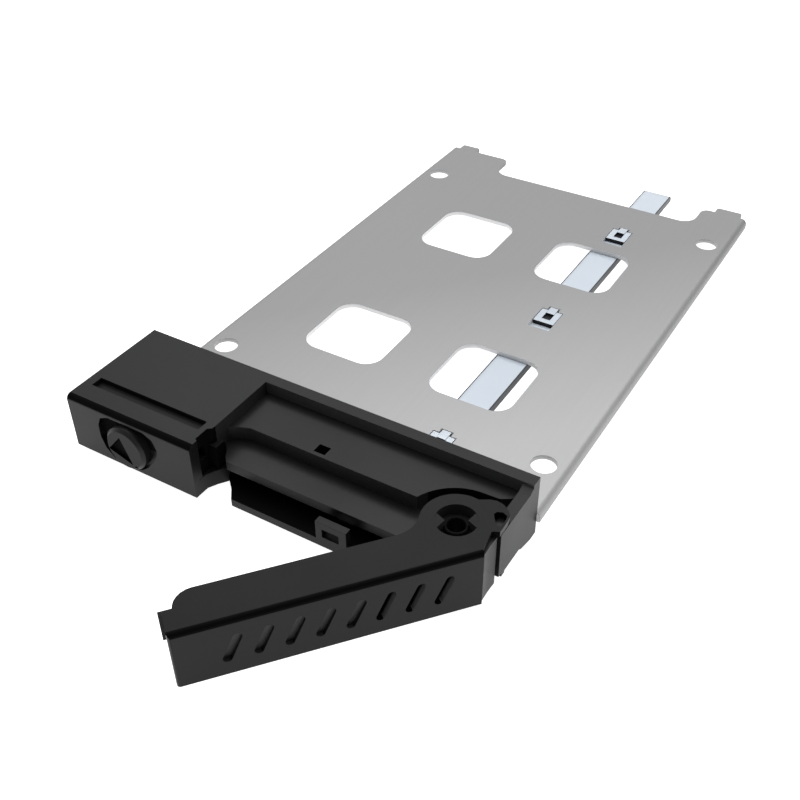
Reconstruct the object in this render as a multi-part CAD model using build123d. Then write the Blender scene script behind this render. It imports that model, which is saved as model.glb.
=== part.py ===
"""Hot-swap tray for a thin 2.5 inch drive, with an ejector lever and a turn lock.

Millimetres, +Z up. Drawn with y = 0 at the front pair of drive holes and z = 0 at
the plate's top, then moved so that the origin is the centre of the hole pattern.
"""
from math import atan2, cos, degrees, hypot, radians, sin
import os

from build123d import *

os.makedirs("parts", exist_ok=True)

# Drive hole pattern and plate
HOLE_PITCH_X = 61.72
HOLE_PITCH_Y = 76.6
DRIVE_HOLE_RADIUS = 2.1
PLATE_WIDTH = 69.86
PLATE_FRONT = -9.85
PLATE_BACK = 90.6
PLATE_THICKNESS = 0.8
FLANGE_DEPTH = 2.0
BEND_RADIUS = 1.1
WINDOW_SIZE = 15.4
WINDOW_CORNER = 3.3
WINDOW_CENTRE_X = 12.65
WINDOW_CENTRES_Y = (15.1, 56.05)
CLIP_HOLE_WIDTH = 4.2
CLIP_HOLE_LENGTH = 6.4
CLIP_HOLE_X = 14.3
CLIP_HOLE_FRONTS = (-7.9, 32.8, 67.0)
NOTCH_LEFT = -20.5
NOTCH_RIGHT = 25.4
NOTCH_FLOOR = 83.35
NOTCH_CORNER = 3.0
TAB_LENGTH = 2.0
TAB_SPANS = ((-33.2, -28.9), (28.0, 33.3))
TAB_CORNER = 0.5
TONGUE_LEFT = -10.0
TONGUE_RIGHT = 26.0
TONGUE_FRONT = -19.0
TONGUE_STEP = 0.1
CLIP_STEP_WIDTH = 2.2
CLIP_STEP_LENGTH = 1.0
CLIP_STEP_DEPTH = 0.47

# Bezel
BEZEL_LEFT = -37.5
BEZEL_RIGHT = 34.4
BEZEL_BACK = -9.85
BEZEL_TOP = 6.85
BEZEL_BOTTOM = -3.3
BLOCK_FRONT = -30.5
BLOCK_RIGHT = -12.75
POCKET_WALL = -13.2
TOP_EDGE_RADIUS = 0.95
SKIN = 1.6
SIDE_WALL = 1.5
FRONT_WALL = 2.0
BACK_RIM = 2.05
RECESS_FLOOR = 4.8
RECESS_LEFT = -12.5
RECESS_RIGHT = 32.5
SHELF_TOP = 2.4
SHELF_BOTTOM = 0.8
SHELF_FRONT = -26.4
STEP_FRONT = -20.4
COVER_TOP = -1.9
COVER_LIP = -29.1
COVER_LEFT_END = -7.1
COVER_NECK_LEFT = -10.6
COVER_NECK_FRONT = -25.2
CORNER_TOP = 5.8
CORNER_FRONT = -22.0
CORNER_WALL = 1.8
CORNER_SKIN = 0.65
CORNER_GROOVE = 1.4
CORNER_BOTTOM = -2.85
FOOT_BOTTOM = -4.25
TOP_SLOT_DEPTH = 0.9
SILL_TOP = -0.5
SQUARE_HOLE = 2.0

# Lever
PIVOT_X = 28.25
PIVOT_Y = -23.4
LEVER_OPEN_ANGLE = 50.07
LEVER_TOP = 6.85
LEVER_BOTTOM = -3.3
LEVER_PLATE_BOTTOM = 4.8
LEVER_FRONT_OUT = 6.85
LEVER_WALL = 1.0
LEVER_RIGHT_ALONG = -1.3
LEVER_TIP_ALONG = 40.45
LEVER_TIP_RADIUS = 3.0
LEVER_FRONT_CORNER = 0.5
HUB_RADIUS = 5.1
HUB_BOTTOM = 2.75
TOOTH_BOTTOM = 5.9
COUNTERBORE_RADIUS = 3.05
COUNTERBORE_FLOOR = 4.5
LUG_WIDTH = 2.6
LUG_REACH = 1.45
FIN_OUT = 3.0
LEVER_BACK_END = 39.1
END_STEP_TOP = 5.85
FIN_THICKNESS = 0.7
FIN_BOTTOM = 2.2
FIN_END_ALONG = 40.9
FIN_START_ALONG = 38.7
END_WALL = 1.2
END_WALL_OUT = 5.3
SLOT_COUNT = 8
SLOT_DEEP_COUNT = 3
SLOT_FIRST_ALONG = 4.18
SLOT_PITCH = 4.09
SLOT_HEIGHT = 4.9
SLOT_CENTRE_Z = 1.55
SLOT_WIDTH = 1.3
SLOT_SLANT = 24.0
SLOT_DEPTH = 1.0
SLOT_TILT = 5.0
DEEP_SLOT_EXTRA = 1.1
DEEP_SLOT_BACK = 4.3
DEEP_SLOT_END = 14.3
DEEP_SLOT_BOTTOM = -1.5

# Pivot pin, washer and ring
PIN_RADIUS = 2.3
PIN_BORE_RADIUS = 1.35
PIN_HEAD_RADIUS = 2.75
PIN_HEAD_TOP = 5.3
PIN_BOTTOM = -2.9
PIVOT_CLEARANCE = 0.05
PAD_RADIUS = 3.9
RING_TOP = 0.75
RING_THICKNESS = 0.5
RING_GROOVE = 0.35
RING_RADIUS = 3.4
LUG_DIRECTION = 30.0

# Lock
KNOB_X = -25.6
KNOB_Z = 1.35
KNOB_RADIUS = 3.9
KNOB_FACE = -31.5
KNOB_BASE = -29.7
KNOB_EDGE = 0.5
ARROW_DEPTH = 0.5
ARROW_POINTS = ((-3.35, -0.95), (-0.6, 2.3), (1.35, -2.5))
DOT_POSITION = (1.95, -2.75)
OPENING_POINTS = (
    (-5.9, -0.45),
    (-5.9, 1.85),
    (-5.2, 3.55),
    (-3.5, 4.35),
    (3.6, 4.35),
    (5.3, 3.55),
    (6.0, 1.85),
    (5.9, 0.65),
    (5.1, -0.65),
    (3.4, -2.85),
    (2.0, -3.95),
    (0.2, -4.35),
    (-2.0, -4.35),
    (-3.8, -3.85),
    (-5.2, -2.45),
)
CAM_DEPTH_OF_SCREW = -2.0
WASHER_RADIUS = 3.2
WASHER_THICKNESS = 0.2
SHAFT_RADIUS = 1.8
SHAFT_FLAT = 1.3
SHAFT_CLEARANCE = 0.05
CAM_FRONT = -28.1
CAM_BACK = -26.8
CAM_RADIUS = 3.0
CRANK_RADIUS = 2.0
CRANK_PIN_RADIUS = 0.55
CRANK_PIN_END = -25.85
CAM_SCREW_RADIUS = 0.8
CAM_SCREW_HEAD_RADIUS = 1.2
CAM_SCREW_HEAD_HEIGHT = 0.65
CAM_SEAT = -27.5
CRANK_START_ANGLE = -45.0
BOLT_FRONT = -28.2
BOLT_STEP = -26.95
BAR_FRONT = -26.7
BAR_BACK = -25.7
BAR_BOTTOM = 0.9
BAR_TOP = 4.9
BAR_LEFT = -29.5
BAR_RIGHT = -19.2
BOLT_TIP = -14.4
BOLT_TIP_BOTTOM = 2.4
BOLT_TIP_TOP = 4.4
BOLT_CLEARANCE = 0.15
CRANK_SLOT_CLEARANCE = 0.4
GUIDE_LENGTH = 1.4

# Light pipe
PIPE_CENTRE_X = 14.2
PIPE_WIDTH = 6.0
PIPE_THICKNESS = 1.4
PIPE_BACK = 94.5
PIPE_GAP = 0.05
PIPE_BEND_BACK = -19.6
PIPE_BEND_FRONT = -24.6
PIPE_FRONT = -25.1
OUTLET_X = 11.0
OUTLET_WIDTH = 2.9
OUTLET_BOTTOM = -1.3
OUTLET_TOP = 0.25
OUTLET_WALL = 1.2
BRACKET_LEFT = 8.45
BRACKET_RIGHT = 13.75
BRACKET_TOP = 1.45
HOOK_TOP = -0.02
HOOK_NOSE = 0.4
HOOK_LENGTH = 4.2
HOOK_POCKET = (1.6, 1.9)

# Screws and fits
SCREW_RADIUS = 0.95
SCREW_FIT = 0.02
SCREW_HEAD_RADIUS = 1.6
SCREW_HEAD_HEIGHT = 0.8
SCREW_LENGTH = 4.0
BOSS_RADIUS = 2.25
PLATE_SCREW_Y = -15.2
PLATE_SCREWS_X = (-6.0, 6.5, 22.5)
COVER_SCREWS = ((-34.0, -14.0), (-16.9, -14.0), (29.6, -14.6), (-34.0, -26.4))
JOINT_GAP = 0.1

PIVOT = (PIVOT_X, PIVOT_Y)
TO_FRAME = Pos(0, -HOLE_PITCH_Y / 2, 0)


def box(x0, x1, y0, y1, z0, z1):
    """A box from its limits."""
    return Pos((x0 + x1) / 2, (y0 + y1) / 2, (z0 + z1) / 2) * Box(abs(x1 - x0), abs(y1 - y0), abs(z1 - z0))


def slab(points, low, high):
    """A flat outline drawn out from one level to another."""
    return extrude(Pos(0, 0, low) * make_face(Polyline(*points, close=True)), high - low)


def post(x, y, radius, low, high):
    """An upright cylinder."""
    return Pos(x, y, (low + high) / 2) * Cylinder(radius, high - low)


def arc_points(centre, radius, start, end, steps):
    """Points along an arc, angles in degrees."""
    turn = (end - start) / steps
    return [
        (
            centre[0] + radius * cos(radians(start + turn * i)),
            centre[1] + radius * sin(radians(start + turn * i)),
        )
        for i in range(steps + 1)
    ]


def angle_at_pivot(x, y):
    """Direction of a point as seen from the lever's pivot."""
    return degrees(atan2(y - PIVOT_Y, x - PIVOT_X))


def edges_near(solid, axis, **limits):
    """Straight edges along an axis whose centre lies inside the given limits."""
    chosen = []
    for edge in solid.edges().filter_by(axis):
        centre = edge.center()
        inside = True
        for name, (low, high) in limits.items():
            value = getattr(centre, name)
            inside = inside and low - 1e-4 <= value <= high + 1e-4
        if inside:
            chosen.append(edge)
    return chosen


def turned(points):
    """A solid of revolution about Z from (radius, height) points."""
    return revolve(Rot(90, 0, 0) * make_face(Polyline(*points, close=True)), Axis.Z)


def screw(radius, head_radius, head_height, length):
    """A pan-head screw, head up, with its seat at z = 0."""
    solid = turned(
        [
            (0, -length),
            (radius, -length),
            (radius, 0),
            (head_radius, 0),
            (head_radius, head_height),
            (0, head_height),
        ]
    )
    for turn in (0, 90):
        solid -= Pos(0, 0, head_height) * Rot(0, 0, turn) * Box(head_radius, 0.4, head_height)
    return solid


def tray_plate():
    """Folded sheet-steel plate with its tongue, windows, holes, notch and back tabs."""
    half = PLATE_WIDTH / 2
    outer = box(-half, half, PLATE_FRONT, PLATE_BACK, -FLANGE_DEPTH, 0)
    outer = fillet(edges_near(outer, Axis.Y, Z=(0, 0)), BEND_RADIUS)
    inner = box(
        -half + PLATE_THICKNESS,
        half - PLATE_THICKNESS,
        PLATE_FRONT - 1,
        PLATE_BACK + 1,
        -FLANGE_DEPTH - 1,
        -PLATE_THICKNESS,
    )
    inner = fillet(
        edges_near(inner, Axis.Y, Z=(-PLATE_THICKNESS, -PLATE_THICKNESS)),
        BEND_RADIUS - PLATE_THICKNESS,
    )
    plate = outer - inner

    notch = box(NOTCH_LEFT, NOTCH_RIGHT, NOTCH_FLOOR, PLATE_BACK + 5, -3, 1)
    notch = fillet(edges_near(notch, Axis.Z, Y=(NOTCH_FLOOR, NOTCH_FLOOR)), NOTCH_CORNER)
    plate -= notch
    ears = edges_near(plate, Axis.Z, X=(NOTCH_LEFT, NOTCH_RIGHT), Y=(PLATE_BACK, PLATE_BACK))
    plate = fillet(ears, 1.6)
    for left, right in TAB_SPANS:
        tab = box(left, right, PLATE_BACK - 0.5, PLATE_BACK + TAB_LENGTH, -PLATE_THICKNESS, 0)
        tab = fillet(
            edges_near(tab, Axis.Z, Y=(PLATE_BACK + TAB_LENGTH, PLATE_BACK + TAB_LENGTH)),
            TAB_CORNER,
        )
        plate += tab

    tongue = box(
        TONGUE_LEFT,
        TONGUE_RIGHT,
        TONGUE_FRONT,
        PLATE_FRONT + 0.5,
        -PLATE_THICKNESS,
        -TONGUE_STEP,
    )
    tongue = fillet(edges_near(tongue, Axis.Z, Y=(TONGUE_FRONT, TONGUE_FRONT)), 1.0)
    plate += tongue

    for side in (-1, 1):
        for y in (0, HOLE_PITCH_Y):
            plate -= post(side * HOLE_PITCH_X / 2, y, DRIVE_HOLE_RADIUS, -3, 1)
        for y in WINDOW_CENTRES_Y:
            window = Pos(side * WINDOW_CENTRE_X, y, 0) * Box(WINDOW_SIZE, WINDOW_SIZE, 4)
            window = fillet(window.edges().filter_by(Axis.Z), WINDOW_CORNER)
            plate -= window
    for front in CLIP_HOLE_FRONTS:
        half_hole = CLIP_HOLE_WIDTH / 2
        plate -= box(
            CLIP_HOLE_X - half_hole,
            CLIP_HOLE_X + half_hole,
            front,
            front + CLIP_HOLE_LENGTH,
            -3,
            1,
        )
        plate -= box(
            CLIP_HOLE_X - CLIP_STEP_WIDTH / 2,
            CLIP_HOLE_X + CLIP_STEP_WIDTH / 2,
            front + CLIP_HOLE_LENGTH - 0.5,
            front + CLIP_HOLE_LENGTH + CLIP_STEP_LENGTH,
            -CLIP_STEP_DEPTH,
            1,
        )
    for x in PLATE_SCREWS_X:
        plate -= post(x, PLATE_SCREW_Y, SCREW_RADIUS + JOINT_GAP, -3, 1)
    return plate


def light_pipe():
    """Clear bar under the plate with a hook in each clip hole and a bent front end."""
    top = -PLATE_THICKNESS - PIPE_GAP
    bottom = top - PIPE_THICKNESS
    half = PIPE_WIDTH / 2
    bar = box(PIPE_CENTRE_X - half, PIPE_CENTRE_X + half, PIPE_BEND_BACK, PIPE_BACK, bottom, top)
    bar = chamfer(edges_near(bar, Axis.X, Y=(PIPE_BACK, PIPE_BACK), Z=(top, top)), 0.6)

    outlet_centre = (OUTLET_BOTTOM + OUTLET_TOP) / 2
    outlet_height = OUTLET_TOP - OUTLET_BOTTOM - 2 * JOINT_GAP
    outlet_width = OUTLET_WIDTH - 2 * JOINT_GAP
    wide = Plane((PIPE_CENTRE_X, PIPE_BEND_BACK, (top + bottom) / 2), x_dir=(1, 0, 0), z_dir=(0, -1, 0))
    narrow = Plane((OUTLET_X, PIPE_BEND_FRONT, outlet_centre), x_dir=(1, 0, 0), z_dir=(0, -1, 0))
    wide_end = wide * Rectangle(PIPE_WIDTH, PIPE_THICKNESS)
    narrow_end = narrow * Rectangle(outlet_width, outlet_height)
    bend = loft([wide_end, narrow_end])
    nose = box(
        OUTLET_X - outlet_width / 2,
        OUTLET_X + outlet_width / 2,
        PIPE_FRONT,
        PIPE_BEND_FRONT,
        outlet_centre - outlet_height / 2,
        outlet_centre + outlet_height / 2,
    )
    pipe = bar + bend + nose

    arm_half = CLIP_HOLE_WIDTH / 2 - JOINT_GAP
    for front in CLIP_HOLE_FRONTS:
        back = front + CLIP_HOLE_LENGTH
        hook = box(
            CLIP_HOLE_X - arm_half,
            CLIP_HOLE_X + arm_half,
            back - JOINT_GAP - HOOK_LENGTH,
            back - JOINT_GAP,
            top - 0.3,
            HOOK_TOP - PIPE_GAP,
        )
        nose_width = HOOK_POCKET[0]
        hook += box(
            CLIP_HOLE_X - nose_width / 2,
            CLIP_HOLE_X + nose_width / 2,
            back - 1.2,
            back + CLIP_STEP_LENGTH - JOINT_GAP,
            HOOK_TOP - HOOK_NOSE,
            HOOK_TOP,
        )
        hook -= box(
            CLIP_HOLE_X - HOOK_POCKET[0] / 2,
            CLIP_HOLE_X + HOOK_POCKET[0] / 2,
            back - 1.2 - HOOK_POCKET[1],
            back - 1.2,
            -0.5,
            1,
        )
        pipe += hook
    return pipe


def recess_outline():
    """Outline of the higher deck, whose front edge bends round the pivot."""
    start = angle_at_pivot(20.3, STEP_FRONT)
    radius = hypot(20.3 - PIVOT_X, STEP_FRONT - PIVOT_Y)
    bend = arc_points(PIVOT, radius, start, 96.0, 10)
    return (
        [
            (BLOCK_RIGHT, BEZEL_BACK - 0.5),
            (-13.2, -22.65),
            (-12.4, -21.9),
            (-11.5, -21.3),
            (-10.5, -20.85),
            (-9.2, STEP_FRONT),
        ]
        + bend
        + [(30.6, -14.8), (32.0, -13.9), (RECESS_RIGHT + 0.2, -12.8), (RECESS_RIGHT + 0.4, BEZEL_BACK - 0.5)]
    )


def shelf_outline():
    """Outline of the lower deck, which carries the lever's hub."""
    pad = arc_points(PIVOT, PAD_RADIUS, -50.3, 14.0, 10)
    return (
        [(-13.2, -20.0), (-13.0, -22.3), (-11.2, -24.2), (-10.5, -25.4), (-9.6, SHELF_FRONT)]
        + pad
        + [(32.7, -21.9), (32.7, -14.0), (30.0, -13.0), (-13.2, -13.0)]
    )


def cover_outline(gap):
    """Outline of the bottom cover, grown by a gap for its seat in the body."""
    left = BEZEL_LEFT + SIDE_WALL + JOINT_GAP - gap
    back = BEZEL_BACK - SIDE_WALL - JOINT_GAP + gap
    block_front = BLOCK_FRONT + FRONT_WALL + JOINT_GAP - gap
    right = BEZEL_RIGHT - CORNER_WALL - JOINT_GAP + gap
    block_right = POCKET_WALL - SIDE_WALL - JOINT_GAP + gap
    neck = -22.6 - gap
    pad = arc_points(PIVOT, PAD_RADIUS + gap, -45.0, 8.0, 6)
    return (
        [
            (left, back),
            (left, block_front),
            (block_right, block_front),
            (block_right, neck),
            (COVER_NECK_LEFT - gap, neck),
            (COVER_NECK_LEFT - gap, COVER_NECK_FRONT),
            (COVER_LEFT_END - 1.5 - gap, COVER_LIP + 2.0),
            (COVER_LEFT_END - gap, COVER_LIP),
            (28.6, COVER_LIP),
            (30.19, -27.57),
        ]
        + pad
        + [(right, -21.7 - gap), (right, back)]
    )


def block_edge():
    """Outline of the left block with its stepped right side at the tip pocket."""
    return [
        (BEZEL_LEFT, BEZEL_BACK),
        (BEZEL_LEFT, BLOCK_FRONT),
        (BLOCK_RIGHT, BLOCK_FRONT),
        (BLOCK_RIGHT, -28.6),
        (POCKET_WALL, -28.4),
        (POCKET_WALL, -25.7),
        (-12.6, -25.2),
        (RECESS_LEFT, -24.6),
        (RECESS_LEFT, BEZEL_BACK),
    ]


def corner_wall():
    """Right side wall, lower at the front where the lever's tooth passes over it."""
    profile = Polyline(
        (BEZEL_BACK, FOOT_BOTTOM),
        (-11.6, FOOT_BOTTOM),
        (-14.7, -3.4),
        (-15.5, CORNER_BOTTOM),
        (CORNER_FRONT + 1.2, CORNER_BOTTOM),
        (CORNER_FRONT + 1.0, CORNER_BOTTOM + 0.4),
        (CORNER_FRONT, CORNER_BOTTOM + 0.4),
        (CORNER_FRONT, CORNER_TOP),
        (-13.0, CORNER_TOP),
        (-10.8, BEZEL_TOP),
        (BEZEL_BACK, BEZEL_TOP),
        close=True,
    )
    side = Plane((BEZEL_RIGHT, 0, 0), x_dir=(0, 1, 0), z_dir=(1, 0, 0))
    wall = extrude(side * make_face(profile), -CORNER_WALL)
    nub_right = BEZEL_RIGHT - 0.3
    wall += box(nub_right - 0.8, nub_right, -20.4, -19.4, FOOT_BOTTOM + 0.2, CORNER_BOTTOM + 0.5)
    return wall


def knob_opening():
    """Shallow shaped recess in the block's face around the knob."""
    face = Plane((0, BLOCK_FRONT - 1, 0), x_dir=(1, 0, 0), z_dir=(0, -1, 0))
    outline = Polyline(*[(KNOB_X + x, KNOB_Z + z) for x, z in OPENING_POINTS], close=True)
    return extrude(face * make_face(outline), -(KNOB_BASE - BLOCK_FRONT + 1))


def bezel_body():
    """Black moulding: lock block, decks, rims, tip pocket and right corner."""
    block = slab(block_edge(), BEZEL_BOTTOM, BEZEL_TOP)
    sill = [
        (POCKET_WALL - 0.5, BLOCK_FRONT + 0.5),
        (BLOCK_RIGHT, BLOCK_FRONT + 0.5),
        (-12.7, -27.9),
        (-11.9, -26.4),
        (-10.9, -25.0),
        (-9.8, -23.4),
        (-9.8, -20.0),
        (POCKET_WALL - 0.5, -20.0),
    ]
    block += slab(sill, BEZEL_BOTTOM, SILL_TOP)
    back = box(BEZEL_LEFT, BEZEL_RIGHT, BEZEL_BACK - BACK_RIM, BEZEL_BACK, BEZEL_BOTTOM, BEZEL_TOP)
    body = block + back
    front_edge = edges_near(body, Axis.X, Y=(BLOCK_FRONT, BLOCK_FRONT), Z=(BEZEL_TOP, BEZEL_TOP))
    body = fillet(front_edge, TOP_EDGE_RADIUS)

    high = make_face(Polyline(*recess_outline(), close=True))
    deck = extrude(Pos(0, 0, SHELF_BOTTOM) * high, RECESS_FLOOR - SHELF_BOTTOM)
    deck += slab(shelf_outline(), SHELF_BOTTOM, SHELF_TOP)
    hollow = offset(high, amount=-1.3, kind=Kind.INTERSECTION)
    deck -= extrude(Pos(0, 0, SHELF_BOTTOM - 1) * hollow, RECESS_FLOOR - SKIN - SHELF_BOTTOM + 1)
    body += deck
    body += corner_wall()

    # Space for the lever's hub and tooth, and the dark groove beside the lever's end
    body -= post(*PIVOT, HUB_RADIUS + 0.35, SHELF_TOP, BEZEL_TOP + 1)
    body -= box(
        BEZEL_RIGHT - CORNER_WALL - 1.5,
        BEZEL_RIGHT - CORNER_SKIN,
        CORNER_FRONT - 1,
        CORNER_FRONT + CORNER_GROOVE,
        COVER_TOP,
        BEZEL_TOP,
    )

    # Lock housing
    room_right = POCKET_WALL - SIDE_WALL
    room = box(
        BEZEL_LEFT + SIDE_WALL,
        room_right,
        BLOCK_FRONT + FRONT_WALL,
        BEZEL_BACK - SIDE_WALL,
        BEZEL_BOTTOM - 1,
        BEZEL_TOP - SKIN,
    )
    body -= room
    body += box(-28.6, BAR_RIGHT, BAR_BACK + BOLT_CLEARANCE, -24.7, 0.2, BEZEL_TOP - SKIN)
    body += box(-24.0, BAR_RIGHT, BAR_FRONT, BAR_BACK + 0.6, BAR_TOP + BOLT_CLEARANCE, BEZEL_TOP - SKIN)
    body += box(
        room_right - GUIDE_LENGTH,
        room_right,
        BLOCK_FRONT + FRONT_WALL,
        BOLT_STEP + 1.0,
        BOLT_TIP_BOTTOM - 1.0,
        BEZEL_TOP - SKIN,
    )
    body += box(POCKET_WALL - 0.2, -11.7, -25.9, -23.9, SILL_TOP - 0.2, 3.9)
    window_gap = BOLT_CLEARANCE
    body -= box(
        room_right - GUIDE_LENGTH - 1,
        POCKET_WALL + 1,
        BOLT_FRONT - window_gap,
        BOLT_STEP + window_gap,
        BOLT_TIP_BOTTOM - window_gap,
        BOLT_TIP_TOP + window_gap,
    )
    body -= knob_opening()
    shaft_bore = Pos(KNOB_X, -29.5, KNOB_Z) * Rot(90, 0, 0) * Cylinder(SHAFT_RADIUS + SHAFT_CLEARANCE, 5)
    body -= shaft_bore

    # Slot in the block's top and square hole in the recess floor
    body -= box(-35.8, -14.2, -26.5, -24.4, BEZEL_TOP - TOP_SLOT_DEPTH, BEZEL_TOP + 1)
    body -= box(3.0 - SQUARE_HOLE / 2, 3.0 + SQUARE_HOLE / 2, -19.75, -18.0, 0, BEZEL_TOP)

    # Bosses for the screws
    boss_top = RECESS_FLOOR - SKIN + 0.3
    for x in PLATE_SCREWS_X:
        body += post(x, PLATE_SCREW_Y, BOSS_RADIUS, PIPE_GAP, boss_top)
    for x, y in COVER_SCREWS:
        top = boss_top if x > POCKET_WALL else BEZEL_TOP - SKIN + 0.3
        body += post(x, y, BOSS_RADIUS, COVER_TOP + PIPE_GAP, top)

    # Seat of the bottom cover, plate slot and pipe channel
    body -= slab(cover_outline(JOINT_GAP), BEZEL_BOTTOM - 2, COVER_TOP + PIPE_GAP)
    body -= box(
        TONGUE_LEFT - JOINT_GAP,
        TONGUE_RIGHT + JOINT_GAP,
        BEZEL_BACK - BACK_RIM - 1,
        BEZEL_BACK + 1,
        -PLATE_THICKNESS - PIPE_GAP,
        PIPE_GAP,
    )
    pipe_half = PIPE_WIDTH / 2 + JOINT_GAP
    body -= box(
        PIPE_CENTRE_X - pipe_half,
        PIPE_CENTRE_X + pipe_half,
        BEZEL_BACK - BACK_RIM - 1,
        BEZEL_BACK + 1,
        -PLATE_THICKNESS - PIPE_THICKNESS - 3 * PIPE_GAP,
        0,
    )
    for x in PLATE_SCREWS_X:
        body -= post(x, PLATE_SCREW_Y, SCREW_RADIUS + SCREW_FIT, -1, 3.0)
    for x, y in COVER_SCREWS:
        body -= post(x, y, SCREW_RADIUS + SCREW_FIT, BEZEL_BOTTOM, 2.4)
    body -= post(*PIVOT, PIN_RADIUS + SCREW_FIT, 0, BEZEL_TOP)
    return body


def bottom_cover():
    """Floor plate of the bezel with its lip, the light outlet and the screw seats."""
    cover = slab(cover_outline(0), BEZEL_BOTTOM, COVER_TOP)
    bracket_back = COVER_LIP + OUTLET_WALL
    cover += box(BRACKET_LEFT, BRACKET_RIGHT, COVER_LIP, bracket_back, COVER_TOP - 0.5, BRACKET_TOP)
    cover -= box(
        OUTLET_X - OUTLET_WIDTH / 2,
        OUTLET_X + OUTLET_WIDTH / 2,
        COVER_LIP - 1,
        COVER_LIP + OUTLET_WALL + 1,
        OUTLET_BOTTOM,
        OUTLET_TOP,
    )
    groove_half = PIPE_WIDTH / 2 + 0.2
    cover -= box(
        PIPE_CENTRE_X - groove_half,
        PIPE_CENTRE_X + groove_half,
        PIPE_BEND_BACK - 4,
        BEZEL_BACK,
        -PLATE_THICKNESS - PIPE_THICKNESS - 2 * PIPE_GAP,
        0,
    )
    cover -= box(
        OUTLET_X - OUTLET_WIDTH / 2,
        PIPE_CENTRE_X + groove_half,
        PIPE_BEND_BACK - 4,
        PIPE_BEND_BACK + 1,
        -PLATE_THICKNESS - PIPE_THICKNESS - 2 * PIPE_GAP,
        0,
    )
    for x, y in COVER_SCREWS:
        cover -= post(x, y, SCREW_RADIUS + JOINT_GAP, BEZEL_BOTTOM - 1, 0)
        cover -= post(x, y, SCREW_HEAD_RADIUS + JOINT_GAP, BEZEL_BOTTOM - 1, BEZEL_BOTTOM + SCREW_HEAD_HEIGHT)
    cover -= post(*PIVOT, PIN_RADIUS + SCREW_FIT, BEZEL_BOTTOM - 1, 0)
    return cover


def lever_shape(points, low, high):
    """A slab from (along, out) positions in the closed pose, pivot at the origin."""
    return slab([(-along, -out) for along, out in points], low, high)


def lever_outline():
    """Outline of the lever's top plate, with the hollow blend beside the hub."""
    start = 8.7
    blend_radius = (start ** 2 - HUB_RADIUS ** 2) / (2 * HUB_RADIUS)
    end = 180 - degrees(atan2(blend_radius, start))
    blend = arc_points((start, -blend_radius), blend_radius, 90.0, end, 6)
    corner_along = LEVER_BACK_END - LEVER_TIP_RADIUS
    back_corner = arc_points((corner_along, LEVER_TIP_RADIUS), LEVER_TIP_RADIUS, 0.0, -90.0, 6)
    return (
        [
            (LEVER_RIGHT_ALONG, LEVER_FRONT_OUT),
            (LEVER_TIP_ALONG, LEVER_FRONT_OUT),
            (LEVER_TIP_ALONG, FIN_OUT),
        ]
        + back_corner
        + blend
        + [(0, 0), (-3.6, 3.3), (-4.35, 3.95), (-2.95, 5.05), (-1.5, 6.35)]
    )


def grip_slot(along, depth):
    """One slanted slot in the lever's front face."""
    length = (SLOT_HEIGHT - SLOT_WIDTH) / cos(radians(SLOT_SLANT)) + SLOT_WIDTH
    face = Plane((-along, -LEVER_FRONT_OUT - 1, SLOT_CENTRE_Z), x_dir=(1, 0, 0), z_dir=(0, -1, 0))
    return extrude(face * Rot(0, 0, 90 - SLOT_SLANT) * SlotOverall(length, SLOT_WIDTH), -depth - 1)


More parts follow.
